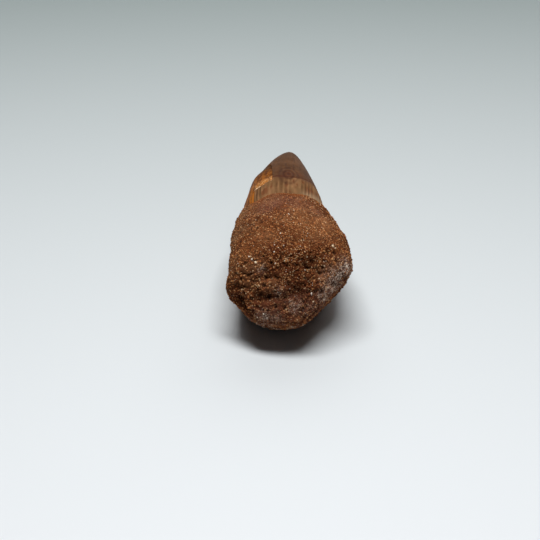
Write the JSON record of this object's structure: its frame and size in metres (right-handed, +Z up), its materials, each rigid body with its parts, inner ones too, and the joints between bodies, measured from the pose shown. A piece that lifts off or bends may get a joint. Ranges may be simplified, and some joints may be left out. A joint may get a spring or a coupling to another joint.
{
  "type": "fossil spinosaurus tooth in sandstone matrix",
  "caption": "Recurved fossil tooth crown with a fluted base, seated in a broken lump of red sandstone that it lies on.",
  "frame": {"origin": "on the surface the part lies on, under the middle of its bounding box", "axes": "+Y from the broken end of the sandstone to the tip of the crown, +Z up"},
  "size_m": [0.0264, 0.0732, 0.0214],
  "materials": {
    "fossil_enamel": "satin, brown to amber, worn smooth at the tip",
    "red_sandstone": "rough, granular, red-brown with pale grains"
  },
  "bodies": {
    "root": {"tooth": "fossil_enamel", "sandstone_matrix": "red_sandstone"}
  },
  "joints": []
}
